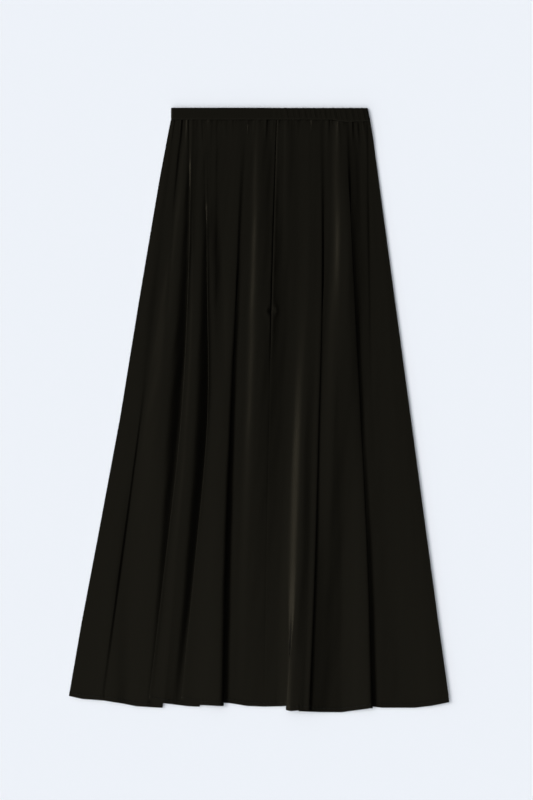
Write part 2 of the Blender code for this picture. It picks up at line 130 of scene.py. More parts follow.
# swells lift the cloth with all its layers, from a top line with a width on its left and right
Swell = namedtuple("Swell", "name top leftWidth rightWidth height")
swells = (
    Swell("leftSide", (-144, -176, -206, -238, -266), (8, 16, 40, 60, 60),
          (6, 12, 18, 14, 10), (0.1, 0.3, 1.2, 1.0, 0.4)),
    Swell("hemWave", (-170, -195, -215, -230, -240), (10, 16, 24, 30, 34),
          (10, 14, 18, 20, 26), (0, 0, 0, 0.2, 1.6)),
    Swell("waistPleat", (-131, -152, -165, -180, -190), (8, 16, 16, 16, 16),
          (5, 7, 8, 8, 8), (0.8, 0.4, 0, 0, 0)),
    Swell("darkShoulder", (-116, -134, -155, -169, -188), (6, 26, 56, 60, 44),
          (5, 23, 38, 22, 14), (0.3, 3.0, 6.0, 3.4, 1.0)),
    Swell("secondLine", (-110.5, -116, -126, -150, -170), (4, 5, 6, 6, 6),
          (4, 4, 5, 6, 6), (0.25, 0.2, 0, 0, 0)),
    Swell("middleShoulder", (-92, -96, -106, -124, -144), (8, 18, 30, 40, 40),
          (6, 16, 28, 20, 14), (0.2, 2.0, 4.8, 3.2, 0.7)),
    Swell("shortLine", (-71.5, -73, -74, -84, -94), (7, 8, 9, 9, 9),
          (3.5, 4, 5, 5, 5), (0.25, 0.1, 0, 0, 0)),
    Swell("innerShoulder", (-30, -40, -52, -62, -66), (16, 26, 36, 46, 50),
          (9, 11, 14, 18, 18), (0.1, 1.0, 2.4, 3.2, 3.0)),
    Swell("softRidge", (0, -1, -8, -18, -24), (9, 17, 18, 16, 14),
          (24, 50, 56, 50, 46), (0.8, 3.0, 2.9, 1.2, 0)),
    Swell("seamGather", (45.5, 44, 44, 44, 44), (5, 6, 6, 6, 6), (16, 20, 20, 20, 20), (0.7, 0, 0, 0, 0)),
    Swell("wideRoll", (92, 90, 78, 62, 52), (18, 30, 32, 28, 24),
          (40, 60, 80, 100, 100), (0, 0.4, 2.0, 3.0, 3.0)),
    Swell("brightRoll", (90, 87, 76, 68, 54), (16, 22, 24, 18, 10),
          (40, 60, 80, 80, 70), (0, 0.1, 0.5, 1.4, 2.3)),
    Swell("rollEdge", (100, 102, 97, 90.5, 82), (8, 8, 8, 8, 8), (6, 6, 6, 6, 6), (0, 0.3, 0.6, 0.7, 0.7)),
    Swell("fadingRidge", (134, 136.5, 125.5, 118, 118), (13, 21, 26, 22, 18),
          (44, 52, 52, 44, 44), (1.5, 3.6, 3.0, 0.2, 0)),
    Swell("rightShoulder", (143, 155, 167, 177.5, 183), (10, 12, 18, 26, 30),
          (6, 7, 9, 13, 14), (0, 0.25, 0.6, 1.5, 2.0)),
    Swell("faintLine", (177, 179.5, 184, 200, 216), (12, 14, 16, 16, 16),
          (4, 5, 7, 8, 8), (0.25, 0.4, 0.1, 0, 0)),
    Swell("rightSide", (184, 218, 252, 285, 315), (30, 60, 70, 80, 80),
          (20, 20, 20, 20, 20), (0.4, 1.3, 1.8, 2.2, 2.6)),
)

# small gathers under the band, which die away down the skirt
Gather = namedtuple("Gather", "x halfWidth height length")
leftGathers = (
    Gather(-140.5, 4.0, 0.2, 60),
    Gather(-128.0, 3.0, 0.45, 70),
    Gather(-118.5, 3.0, 0.45, 60),
    Gather(-97.0, 3.5, 0.3, 60),
    Gather(-80.5, 3.5, 0.25, 50),
    Gather(-56.0, 4.0, 0.25, 40),
    Gather(-45.0, 3.5, 0.25, 30),
    Gather(-28.5, 3.0, 0.55, 110),
    Gather(-18.5, 3.5, 0.3, 40),
    Gather(-7.5, 3.5, 0.45, 55),
    Gather(12.0, 3.5, 0.4, 45),
    Gather(23.0, 3.5, 0.3, 50),
)
rightGathers = (
    Gather(63.5, 4.0, 0.2, 40),
    Gather(84.5, 4.0, 0.35, 40),
    Gather(114.0, 4.0, 0.3, 45),
    Gather(130.5, 4.0, 0.25, 90),
    Gather(153.0, 3.5, 0.3, 45),
    Gather(161.5, 3.5, 0.3, 50),
    Gather(172.0, 3.5, 0.25, 45),
)

centreSeam = (29.8, 22.4, 16.6, 11.6, 8.3)

# the hem's outline on each stretch between two pleats
HemPoint = namedtuple("HemPoint", "x y")
leftHem = (
    (HemPoint(-314.6, -473), HemPoint(-293, -478), HemPoint(-258, -480.4)),
    (HemPoint(-258, -480.4), HemPoint(-227, -485.3), HemPoint(-204, -490), HemPoint(-156, -493)),
    (HemPoint(-182, -480), HemPoint(-154, -485.3), HemPoint(-118, -490), HemPoint(-96, -491)),
    (HemPoint(-127.5, -481), HemPoint(-96, -487.6), HemPoint(-58, -489.6)),
    (HemPoint(-84, -482), HemPoint(-48, -485), HemPoint(-20, -489.6), HemPoint(8.3, -490.8)),
)
rightHem = (
    (HemPoint(8.3, -490.8), HemPoint(38, -490), HemPoint(65, -487)),
    (HemPoint(43.7, -495.5), HemPoint(52, -497.4), HemPoint(62, -496.4), HemPoint(84.6, -495.6)),
    (HemPoint(64, -497.6), HemPoint(104, -499.6), HemPoint(137, -500), HemPoint(190.4, -492)),
    (HemPoint(167, -488), HemPoint(204, -492.6), HemPoint(257, -492.6), HemPoint(286, -489),
     HemPoint(314.6, -483)),
)


def smoothStep(low, high, value):
    share = np.clip((value - low) / (high - low), 0.0, 1.0)
    return share * share * (3.0 - 2.0 * share)


def mound(away, halfWidth):        # one in its middle, falling softly to zero at its half width
    return np.cos(np.minimum(np.abs(away) / halfWidth, 1.0) * math.pi / 2.0) ** 2


def along(values, below):        # a smooth curve through the five values at the stations
    slopes = np.gradient(np.array(values, dtype=float), np.array(stations))
    k = min(int(np.searchsorted(stations, below, side="right")) - 1, len(stations) - 2)
    span = stations[k + 1] - stations[k]
    t = (below - stations[k]) / span
    start = (1 + 2 * t) * (1 - t) ** 2 * values[k] + t * (1 - t) ** 2 * span * slopes[k]
    end = t * t * (3 - 2 * t) * values[k + 1] - t * t * (1 - t) * span * slopes[k + 1]
    return float(start + end)


def sideX(below):
    rows = [row.below for row in sides]
    return (float(np.interp(below, rows, [row.left for row in sides])),
            float(np.interp(below, rows, [row.right for row in sides])))


def seamY(x):
    return np.interp(x, [p.x for p in bandSeam], [p.y for p in bandSeam])


def panelTopY(x):
    reach = skirtLay["seamReach"]
    return np.minimum(np.minimum(seamY(x - reach), seamY(x)), seamY(x + reach)) - skirtLay["seamGap"]


def foldPitch(below):
    low, high = skirtLay["waistPitch"], skirtLay["foldPitch"]
    return low + (high - low) * float(smoothStep(0.0, 2 * skirtLay["waistBlend"], below))


def baseZ(below):
    low, high = skirtLay["waistBaseZ"], skirtLay["laidBaseZ"]
    return low + (high - low) * float(smoothStep(0.0, skirtLay["waistBlend"], below))


def crispness(tuck):
    return float(smoothStep(-skirtLay["crispTuck"], skirtLay["crispTuck"], tuck))


def lapRise(lap, below):
    crisp = crispness(along(lap.tuck, below))
    return along(lap.softRise, below) * (1.0 - crisp) + 2.0 * foldPitch(below) * crisp


def lapFall(lap, below, share, steep):        # a steep fall leaves a crisp crease at once, the other gently
    share = np.clip(share, 0.0, 1.0)
    steepness = float(smoothStep(0.0, 2.0 * skirtLay["crispTuck"], along(lap.tuck, below))) if steep else 0.0
    gentle = 1.0 - smoothStep(0.0, 1.0, share)
    return lapRise(lap, below) * (gentle + ((1.0 - share) ** 2 - gentle) * steepness)


def lapLine(lap, below, turnSteps):        # the cloth's centre line through a pleat, left to right
    tuck = along(lap.tuck, below)
    crisp = crispness(tuck)
    turn = foldPitch(below) / 2.0
    reach = max(tuck, skirtLay["leastReturn"] * turn)
    angles = np.radians(90.0 - 180.0 * np.arange(turnSteps + 1) / turnSteps)
    steps = fineness["tuckSteps"]
    between = -turn + (2.0 * turn - reach) * np.arange(1, steps) / steps
    x = np.concatenate((turn * np.cos(angles) - turn, between, turn - reach - turn * np.cos(angles)))
    bend = 0.25 * np.sin(angles)
    height = np.concatenate((0.75 + bend, np.full(steps - 1, 0.5), 0.25 + bend))
    share = np.linspace(0.0, 1.0, len(x))
    slopeX = max(-tuck, skirtLay["softSlope"]) * (share - skirtLay["slopeStart"])
    slopeHeight = 1.0 - smoothStep(0.0, 1.0, share)
    x = slopeX + (x - slopeX) * crisp
    height = (slopeHeight + (height - slopeHeight) * crisp) * lapRise(lap, below)
    edge = along(lap.edge, below)
    if lap.upper == "left":
        return edge + x, height
    return (edge - x)[::-1], height[::-1]


def swellHeight(x, below):
    total = np.zeros_like(x)
    for swell in swells:
        height = along(swell.height, below)
        if height > 0.0:
            top = along(swell.top, below)
            width = np.where(x < top, along(swell.leftWidth, below), along(swell.rightWidth, below))
            total += height * mound(x - top, width)
    return total


# small forms that only the finished cloth has
clothDetail = {
    "seamLip": 0.25,
    "seamLipWidth": 5.0,
    "seamDip": 0.55,
    "seamDipWidth": 1.1,
    "seamDipLeast": 0.12,
    "seamPucker": 0.12,
    "seamPuckerWidth": 4.0,
    "seamPuckerPitch": 11.0,
    "seamFadeEnd": 430.0,
    "tackBelow": 316.0,
    "tackDepth": 0.5,
    "tackRadius": 4.0,
    "tackNarrowing": 0.7,
    "tackRing": 0.25,
    "tackRingRadius": 8.0,
    "tackRingWidth": 3.0,
    "bandDip": 0.7,
    "bandDipReach": 2.6,
    "bandDipSpread": 0.35,
    "bandDipLength": 3.1,
    "bandDipDrift": 13.0,
    "waveCount": 7,
    "waveHeight": 0.08,
    "wavesAcross": (0.035, 0.11),
    "wavesDown": (0.002, 0.012),
    "waveShare": (0.4, 1.0),
    "waveFan": 0.9,
    "crushFrom": -104.0,
    "crushTo": 181.0,
    "crushPitch": 4.6,
    "crushShift": 1.4,
    "crushWidth": (1.5, 2.6),
    "crushShare": (0.35, 1.0),
    "crushReach": (0.5, 1.3),
    "crushHeight": 0.16,
    "crushLength": 22.0,
    "hemTurn": 6.5,
    "hemTurnEase": 0.6,
    "hemRise": 0.28,
    "hemPucker": 0.10,
    "hemPuckerPitch": 6.3,
    "hemPuckerDrift": 23.0,
    "hemPuckerReach": 4.0,
    "seed": 7,
}

rng = np.random.default_rng(clothDetail["seed"])
crushMarks = [(x + rng.uniform(-clothDetail["crushShift"], clothDetail["crushShift"]),
               rng.uniform(*clothDetail["crushWidth"]), rng.uniform(*clothDetail["crushShare"]),
               rng.uniform(*clothDetail["crushReach"]))
              for x in np.arange(clothDetail["crushFrom"], clothDetail["crushTo"], clothDetail["crushPitch"])]
waveMarks = [(rng.uniform(*clothDetail["wavesAcross"]), rng.uniform(*clothDetail["wavesDown"]),
              rng.uniform(0, fullTurn), rng.uniform(*clothDetail["waveShare"]))
             for _ in range(clothDetail["waveCount"])]


def clothWaves(x, below):        # the long soft unevenness of cloth that was laid by hand
    fan = 1.0 + clothDetail["waveFan"] * below / skirtLay["drop"]
    total = sum(size * np.sin(fullTurn * acrossRate * x / fan + fullTurn * downRate * below + phase)
                for acrossRate, downRate, phase, size in waveMarks)
    return clothDetail["waveHeight"] * total / 3.0


def waistCrush(x, below):        # the finest gathers, right under the band
    total = np.zeros_like(x)
    for centre, width, height, length in crushMarks:
        fade = float(smoothStep(clothDetail["crushLength"] * length, 0.0, below))
        if fade > 0.0:
            total += height * fade * mound(x - centre, width)
    return clothDetail["crushHeight"] * total


def seamForm(x, below):        # the centre seam's lips and dip, and the tack low on its stitched stretch
    seam = along(centreSeam, below)
    away = x - seam
    shown = float(smoothStep(clothDetail["seamFadeEnd"], clothDetail["tackBelow"], below))
    lip = clothDetail["seamLip"] * shown * np.exp(-(away / clothDetail["seamLipWidth"]) ** 2)
    least = clothDetail["seamDipLeast"]
    dip = clothDetail["seamDip"] * (least + (1.0 - least) * shown)
    dip *= np.exp(-(away / clothDetail["seamDipWidth"]) ** 2)
    pucker = clothDetail["seamPucker"] * math.sin(fullTurn * below / clothDetail["seamPuckerPitch"])
    pucker *= shown * np.exp(-(away / clothDetail["seamPuckerWidth"]) ** 2)
    down = below - clothDetail["tackBelow"]
    spot = np.sqrt(away ** 2 + (down * clothDetail["tackNarrowing"]) ** 2)
    tack = -clothDetail["tackDepth"] * np.exp(-(spot / clothDetail["tackRadius"]) ** 2)
    ring = (spot - clothDetail["tackRingRadius"]) / clothDetail["tackRingWidth"]
    tack += clothDetail["tackRing"] * np.exp(-ring ** 2)
    return lip - dip + pucker + tack


class FrontHalf:
    def __init__(self, side, laps, gathers, hem):
        self.side = side
        self.laps = laps
        self.gathers = gathers
        self.hem = hem
        self.columns = [self.zoneFractions(index) for index in range(len(laps) + 1)]
        self.waistPlaces = [self.places(index, 0.0) for index in range(len(laps) + 1)]

    def borders(self, below):
        left, right = sideX(below)
        seam = along(centreSeam, below)
        gap = skirtLay["seamGap"] / 2.0
        return (left, seam - gap) if self.side == "left" else (seam + gap, right)

    def zones(self, index, below):        # a stretch's start, the inner ends of its hidden parts, and its end
        start, end = self.borders(below)
        hiddenStart = hiddenEnd = 0.0
        if index > 0:
            start = lapLine(self.laps[index - 1], below, 2)[0][-1]
            hiddenStart = max(along(self.laps[index - 1].tuck, below), 0.0) + skirtLay["flatMargin"]
        if index < len(self.laps):
            end = lapLine(self.laps[index], below, 2)[0][0]
            hiddenEnd = max(along(self.laps[index].tuck, below), 0.0) + skirtLay["flatMargin"]
        room = (end - start) * skirtLay["longestHidden"]
        return start, start + min(hiddenStart, room), end - min(hiddenEnd, room), end

    def zoneFractions(self, index):        # the columns of a stretch, as zones and fractions of them
        waist, hem = self.zones(index, 0.0), self.zones(index, skirtLay["drop"])
        count = max(math.ceil((waist[2] - waist[1]) / fineness["waistColumn"]),
                    math.ceil((hem[2] - hem[1]) / fineness["hemColumn"]), 3)
        hidden = np.arange(1, fineness["hiddenColumns"]) / fineness["hiddenColumns"]
        zone, fraction = [np.full(count + 1, 1)], [np.linspace(0.0, 1.0, count + 1)]
        if index > 0:
            zone.insert(0, np.full(len(hidden), 0))
            fraction.insert(0, hidden)
        if index < len(self.laps):
            zone.append(np.full(len(hidden), 2))
            fraction.append(hidden)
        return np.concatenate(zone), np.concatenate(fraction)

    def places(self, index, below):
        zones = np.array(self.zones(index, below))
        zone, fraction = self.columns[index]
        return zones[zone] + fraction * (zones[zone + 1] - zones[zone])

    def gatherHeight(self, waistX, below):
        total = waistCrush(waistX, below)
        for gather in self.gathers:
            fade = float(smoothStep(gather.length, 0.0, below))
            total += gather.height * fade * mound(waistX - gather.x, gather.halfWidth)
        return total

    def level(self, index, x, below):        # height over the lowest layer, from the pleats at both ends
        _, fromX, toX, _ = self.zones(index, below)
        height = np.zeros_like(x)
        fallsRight = index > 0 and self.laps[index - 1].upper == "right"
        fallsLeft = index < len(self.laps) and self.laps[index].upper == "left"
        if fallsRight:
            lap = self.laps[index - 1]
            fall = min(along(lap.fall, below), toX - fromX)
            height += lapFall(lap, below, (x - fromX) / fall, steep=not fallsLeft)
        if fallsLeft:
            lap = self.laps[index]
            fall = min(along(lap.fall, below), toX - fromX)
            height += lapFall(lap, below, (toX - x) / fall, steep=False)
        return height

    def row(self, below):
        xs, zs = [], []
        for index in range(len(self.laps) + 1):
            x = self.places(index, below)
            height = self.level(index, x, below) + self.gatherHeight(self.waistPlaces[index], below)
            xs.append(x)
            zs.append(height)
            if index < len(self.laps):
                x, height = lapLine(self.laps[index], below, fineness["turnSteps"])
                xs.append(x)
                zs.append(height)
        x = np.concatenate(xs)
        lift = swellHeight(x, below) + clothWaves(x, below) + seamForm(x, below)
        return x, baseZ(below) + np.concatenate(zs) + lift

    def hemLine(self):
        parts = []
        for index, points in enumerate(self.hem):
            known = [p.x for p in points], [p.y for p in points]
            parts.append(np.interp(self.places(index, skirtLay["drop"]), *known))
            if index < len(self.laps):
                x = lapLine(self.laps[index], skirtLay["drop"], fineness["turnSteps"])[0]
                after = self.hem[index + 1]
                behind = np.interp(x[-1], [p.x for p in after], [p.y for p in after])
                parts.append(np.linspace(parts[-1][-1], behind, len(x)))
        return np.concatenate(parts)

    def sheet(self, rows):        # an array of rows, points and their x, y, z
        hem = self.hemLine()
        top = panelTopY(self.row(0.0)[0])
        hemTurn, ease = clothDetail["hemTurn"], clothDetail["hemTurnEase"]
        spread = clothDetail["bandDipSpread"]
        grid = []
        for below in rows:
            x, z = self.row(below)
            share = below / skirtLay["drop"]
            fromEdge = skirtLay["drop"] - below
            drift = 2.0 * np.sin(x / clothDetail["bandDipDrift"])
            uneven = 1.0 - spread + spread * np.sin(x / clothDetail["bandDipLength"] + drift)
            z = z - clothDetail["bandDip"] * uneven * math.exp(-below / clothDetail["bandDipReach"])
            turned = float(smoothStep(hemTurn + ease, hemTurn - ease, fromEdge))
            drift = np.sin(x / clothDetail["hemPuckerDrift"])
            pucker = clothDetail["hemPucker"] * np.sin(fullTurn * x / clothDetail["hemPuckerPitch"] + drift)
            pucker *= math.exp(-((fromEdge - hemTurn) / clothDetail["hemPuckerReach"]) ** 2)
            z = z + turned * clothDetail["hemRise"] + pucker
            grid.append(np.column_stack((x, top + (hem - top) * share, z)))
        return np.array(grid)


def rowPlaces():        # the rows of the cloth, closer together at the tack and at the hem
    places, step = [0.0], fineness["firstRow"]
    hemRows = fineness["hemRows"]
    tack, reach = clothDetail["tackBelow"], fineness["tackReach"]
    tackRows = np.arange(tack - reach, tack + reach + 0.1, fineness["tackRow"])
    while places[-1] + step < skirtLay["drop"] - hemRows[0] - 2.0:
        places.append(places[-1] + step)
        step = min(step * fineness["rowGrowth"], fineness["lastRow"])
    places = [p for p in places if abs(p - tack) > reach + 1.0] + list(tackRows)
    return sorted(places) + [skirtLay["drop"] - h for h in hemRows]


# the look of the satin
satinLook = {
    "colour": (0.0007, 0.0006, 0.0005, 1.0),
    "roughness": 0.3,
    "roughnessSpread": 0.03,
    "specular": 0.1,
    "specularTint": (1.0, 0.89, 0.63, 1.0),
    "darkest": 0.86,
    "lightest": 1.16,
    "threadPitch": 0.42,
    "threadAngle": 34.0,
    "threadWander": 0.6,
    "threadBump": 0.05,
    "threadDepth": 0.1,
    "slubScale": (420.0, 26.0, 420.0),
    "slubBump": 0.12,
    "slubDepth": 0.25,
    "cloudScale": (38.0, 9.0, 38.0),
}
bandLook = dict(satinLook, slubBump=0.2)
backLook = dict(satinLook, roughness=0.34)
threadLook = {
    "colour": (0.004, 0.0035, 0.003, 1.0),
    "roughness": 0.5,
    "twistScale": 900.0,
    "twistBump": 0.3,
    "twistDepth": 0.05,
}


def addNode(tree, kind, place, **settings):
    node = tree.nodes.new(kind)
    node.location = place
    for name, value in settings.items():
        setattr(node, name, value)
    return node


def addNoise(tree, places, y, scale, detail):        # noise stretched along the cloth
    stretch = addNode(tree, "ShaderNodeMapping", (-1100, y))
    stretch.inputs["Scale"].default_value = scale
    noise = addNode(tree, "ShaderNodeTexNoise", (-900, y))
    noise.inputs["Scale"].default_value = 1.0
    noise.inputs["Detail"].default_value = detail
    tree.links.new(places.outputs["Object"], stretch.inputs["Vector"])
    tree.links.new(stretch.outputs["Vector"], noise.inputs["Vector"])
    return noise


def addBump(tree, place, strength, depth):
    bump = addNode(tree, "ShaderNodeBump", place)
    bump.inputs["Strength"].default_value = strength
    bump.inputs["Distance"].default_value = depth * mm
    return bump


def newMaterial(name):
    material = bpy.data.materials.new(name)
    material.use_nodes = True
    return material, material.node_tree, material.node_tree.nodes["Principled BSDF"]


def makeSatin(name, look):        # twill threads, slubs that run down the cloth and an uneven gloss
    material, tree, shader = newMaterial(name)
    shader.inputs["Base Color"].default_value = look["colour"]
    shader.inputs["Specular IOR Level"].default_value = look["specular"]
    shader.inputs["Specular Tint"].default_value = look["specularTint"]
    places = addNode(tree, "ShaderNodeTexCoord", (-1300, 0))
    twill = addNode(tree, "ShaderNodeMapping", (-1100, 200))
    twill.inputs["Rotation"].default_value = (0.0, 0.0, math.radians(look["threadAngle"]))
    threads = addNode(tree, "ShaderNodeTexWave", (-900, 200), bands_direction="X")
    threads.inputs["Scale"].default_value = 1.0 / (look["threadPitch"] * mm) / fullTurn
    threads.inputs["Distortion"].default_value = look["threadWander"]
    threads.inputs["Detail"].default_value = 1.0
    slubs = addNoise(tree, places, -100, look["slubScale"], 3.0)
    clouds = addNoise(tree, places, -400, look["cloudScale"], 2.0)
    gloss = addNode(tree, "ShaderNodeMapRange", (-600, -400))
    gloss.inputs["To Min"].default_value = look["roughness"] - look["roughnessSpread"]
    gloss.inputs["To Max"].default_value = look["roughness"] + look["roughnessSpread"]
    tint = addNode(tree, "ShaderNodeMixRGB", (-300, 200), blend_type="MIX")
    for label, share in (("Color1", look["darkest"]), ("Color2", look["lightest"])):
        tint.inputs[label].default_value = tuple(c * share for c in look["colour"][:3]) + (1.0,)
    slubBump = addBump(tree, (-450, -150), look["slubBump"], look["slubDepth"])
    threadBump = addBump(tree, (-250, -150), look["threadBump"], look["threadDepth"])
    link = tree.links.new
    link(places.outputs["Object"], twill.inputs["Vector"])
    link(twill.outputs["Vector"], threads.inputs["Vector"])
    link(clouds.outputs["Fac"], gloss.inputs["Value"])
    link(gloss.outputs["Result"], shader.inputs["Roughness"])
    link(slubs.outputs["Fac"], tint.inputs["Fac"])
    link(tint.outputs["Color"], shader.inputs["Base Color"])
    link(slubs.outputs["Fac"], slubBump.inputs["Height"])
    link(slubBump.outputs["Normal"], threadBump.inputs["Normal"])
    link(threads.outputs["Fac"], threadBump.inputs["Height"])
    link(threadBump.outputs["Normal"], shader.inputs["Normal"])
    return material


def makeThread(name, look):        # twisted sewing thread
    material, tree, shader = newMaterial(name)
    shader.inputs["Base Color"].default_value = look["colour"]
    shader.inputs["Roughness"].default_value = look["roughness"]
    places = addNode(tree, "ShaderNodeTexCoord", (-900, 0))
    twist = addNode(tree, "ShaderNodeTexWave", (-650, 0), bands_direction="DIAGONAL")
    twist.inputs["Scale"].default_value = look["twistScale"]
    bump = addBump(tree, (-350, 0), look["twistBump"], look["twistDepth"])
    tree.links.new(places.outputs["Object"], twist.inputs["Vector"])
    tree.links.new(twist.outputs["Fac"], bump.inputs["Height"])
    tree.links.new(bump.outputs["Normal"], shader.inputs["Normal"])
    return material


def newPiece(name, mesh, material):
    piece = bpy.data.objects.new(name, mesh)
    mesh.materials.append(material)
    bpy.context.scene.collection.objects.link(piece)
    return piece


def gridMesh(name, grid, closedRows=False, closedPoints=False):
    rows, points = grid.shape[:2]
    mesh = bpy.data.meshes.new(name)
    index = np.arange(rows * points).reshape(rows, points)
    if closedRows:
        index = np.vstack((index, index[:1]))
    if closedPoints:
        index = np.hstack((index, index[:, :1]))
    quads = np.stack((index[:-1, :-1], index[:-1, 1:], index[1:, 1:], index[1:, :-1]), axis=-1).reshape(-1, 4)
    mesh.from_pydata([tuple(p) for p in (grid.reshape(-1, 3) * mm)], [], [tuple(q) for q in quads.tolist()])
    mesh.update()
    return mesh


def pointOutwards(mesh):
    shape = bmesh.new()
    shape.from_mesh(mesh)
    bmesh.ops.recalc_face_normals(shape, faces=shape.faces[:])
    shape.to_mesh(mesh)
    shape.free()


def bakeModifiers(piece):        # the evaluated mesh takes the place of the base mesh and its modifiers
    mesh = bpy.data.meshes.new_from_object(piece.evaluated_get(bpy.context.evaluated_depsgraph_get()))
    piece.modifiers.clear()
    old = piece.data
    piece.data = mesh
    bpy.data.meshes.remove(old)
    mesh.shade_smooth()
    mesh.set_sharp_from_angle(angle=math.radians(fineness["sharpAngle"]))


def clothFrom(name, grid, material):
    piece = newPiece(name, gridMesh(name, grid), material)
    piece.data.flip_normals()        # the rows run down the skirt, which leaves the faces looking down
    wall = piece.modifiers.new("satin", "SOLIDIFY")
    wall.thickness = skirtLay["satin"] * mm
    wall.offset = 0.0
    wall.use_even_offset = True
    wall.thickness_clamp = 0.0
    bakeModifiers(piece)
    return piece


panelSatin = makeSatin("panelSatin", satinLook)
bandSatin = makeSatin("bandSatin", bandLook)
backSatin = makeSatin("backSatin", backLook)
sewingThread = makeThread("sewingThread", threadLook)

leftHalf = FrontHalf("left", leftLaps, leftGathers, leftHem)
rightHalf = FrontHalf("right", rightLaps, rightGathers, rightHem)
rows = rowPlaces()
leftGrid = leftHalf.sheet(rows)
rightGrid = rightHalf.sheet(rows)
frontLeft = clothFrom("frontLeftPanel", leftGrid, panelSatin)
frontRight = clothFrom("frontRightPanel", rightGrid, panelSatin)
print("stage: front panels", len(frontLeft.data.polygons), len(frontRight.data.polygons))


# the back panel, flat on the surface, with the creases of its own pleats pressed into its underside
backCut = {
    "inset": 0.8,
    "middleZ": 0.2,
    "rowCount": 90,
    "columnCount": 150,
    "creaseDepth": 0.34,
    "creaseWidth": 1.5,
    "creaseFade": 0.75,
    "creaseHem": (-262, -196, -131, -68, 12, 74, 122, 205, 268),
    "creaseWaist": (-121, -98, -70, -32, 8, 52, 96, 118, 152),
    "creaseLength": (0.8, 1.0, 0.92, 1.0, 0.7, 1.0, 0.9, 1.0, 0.75),
}
backHem = (
    HemPoint(-313.8, -468),
    HemPoint(-290, -472),
    HemPoint(-227, -478.5),
    HemPoint(-154, -480.5),
    HemPoint(-96, -481),
    HemPoint(-48, -481.5),
    HemPoint(0, -486),
    HemPoint(50, -489),
    HemPoint(100, -492),
    HemPoint(150, -492),
    HemPoint(200, -487.5),
    HemPoint(260, -486),
    HemPoint(295, -480),
    HemPoint(313.8, -472),
)


def backGrid():
    top = skirtLay["bandSeamY"] - skirtLay["seamGap"]
    across = np.linspace(0.0, 1.0, backCut["columnCount"] + 1)
    hemX = backHem[0].x + across * (backHem[-1].x - backHem[0].x)
    hem = np.interp(hemX, [p.x for p in backHem], [p.y for p in backHem])
    grid = []
    for share in np.linspace(0.0, 1.0, backCut["rowCount"] + 1):
        left, right = sideX(share * skirtLay["drop"])
        x = left + backCut["inset"] + across * (right - left - 2 * backCut["inset"])
        z = np.full_like(x, backCut["middleZ"])
        for waist, end, reach in zip(backCut["creaseWaist"], backCut["creaseHem"], backCut["creaseLength"]):
            centre = waist + (end - waist) * share
            fade = float(smoothStep(1.0, backCut["creaseFade"], share / reach))
            away = (x - centre) / (backCut["creaseWidth"] * (1.0 + share))
            z += backCut["creaseDepth"] * fade * np.exp(-away ** 2)
        grid.append(np.column_stack((x, top + (hem - top) * share, z)))
    return np.array(grid)


backPlaces = backGrid()
back = clothFrom("backPanel", backPlaces, backSatin)
print("stage: back panel", len(back.data.polygons))


# the waistband casing, with the elastic's crinkles
bandCut = {
    "wall": 2.4,
    "edgeRound": 0.8,
    "column": 0.9,
    "endStep": 15.0,
    "backColumns": 4,
    "swellShare": 0.6,
    "faceInset": 0.12,
    "innerRise": 0.2,
    "crinkleStart": -2.0,
    "crinkleEase": 60.0,
    "crinklePitch": 9.0,
    "crinkleDrift": 1.3,
    "crinkleDriftLength": 17.0,
    "crinkleSecond": 0.4,
    "crinkleSecondRate": 0.57,
    "crinkleHeight": 0.16,
    "crinkleLowest": -0.35,
    "fineCrinkle": 0.05,
    "fineLeast": 0.3,
    "fineRate": 2.1,
    "fineDrift": 1.7,
    "fineDriftLength": 6.0,
    "scallop": 0.8,
    "topRight": 179.6,
    "cutLength": 0.72,
    "cutWidth": 0.02,
}

# the casing's outer face from top to bottom: how far up, how full, and how much of the crinkles it takes
FacePoint = namedtuple("FacePoint", "up swell crease")
bandFace = (
    FacePoint(0.96, 0.15, 0.4),
    FacePoint(0.86, 0.25, 0.8),
    FacePoint(0.7, 0.3, 1.0),
    FacePoint(0.5, 0.3, 1.0),
    FacePoint(0.3, 0.3, 0.9),
    FacePoint(0.16, 0.22, 0.7),
    FacePoint(0.06, 0.18, 0.3),
    FacePoint(0.0, 0.0, 0.0),
)


def elasticPull(x):        # the elastic bunches the right part of the band
    return float(smoothStep(bandCut["crinkleStart"], bandCut["crinkleStart"] + bandCut["crinkleEase"], x))


def crinkle(x):
    phase = 2.0 * math.pi * x / bandCut["crinklePitch"]
    second = bandCut["crinkleSecond"]
    drift = bandCut["crinkleDrift"] * math.sin(x / bandCut["crinkleDriftLength"])
    return elasticPull(x) * ((1.0 - second) * math.sin(phase + drift)
                             + second * math.sin(phase * bandCut["crinkleSecondRate"] + 2.0))


def fineCrinkle(x):
    drift = bandCut["fineDrift"] * math.sin(x / bandCut["fineDriftLength"])
    strength = bandCut["fineLeast"] + (1.0 - bandCut["fineLeast"]) * elasticPull(x)
    return bandCut["fineCrinkle"] * strength * math.sin(x * bandCut["fineRate"] + drift)


def bandEnd(middleX, turn, degrees):        # round one end of the band
    return [(middleX + turn * math.cos(turned), turn * math.sin(turned),
             math.cos(turned), math.sin(turned), (math.sin(turned) + 1.0) / 2.0)
            for turned in np.radians(degrees)]


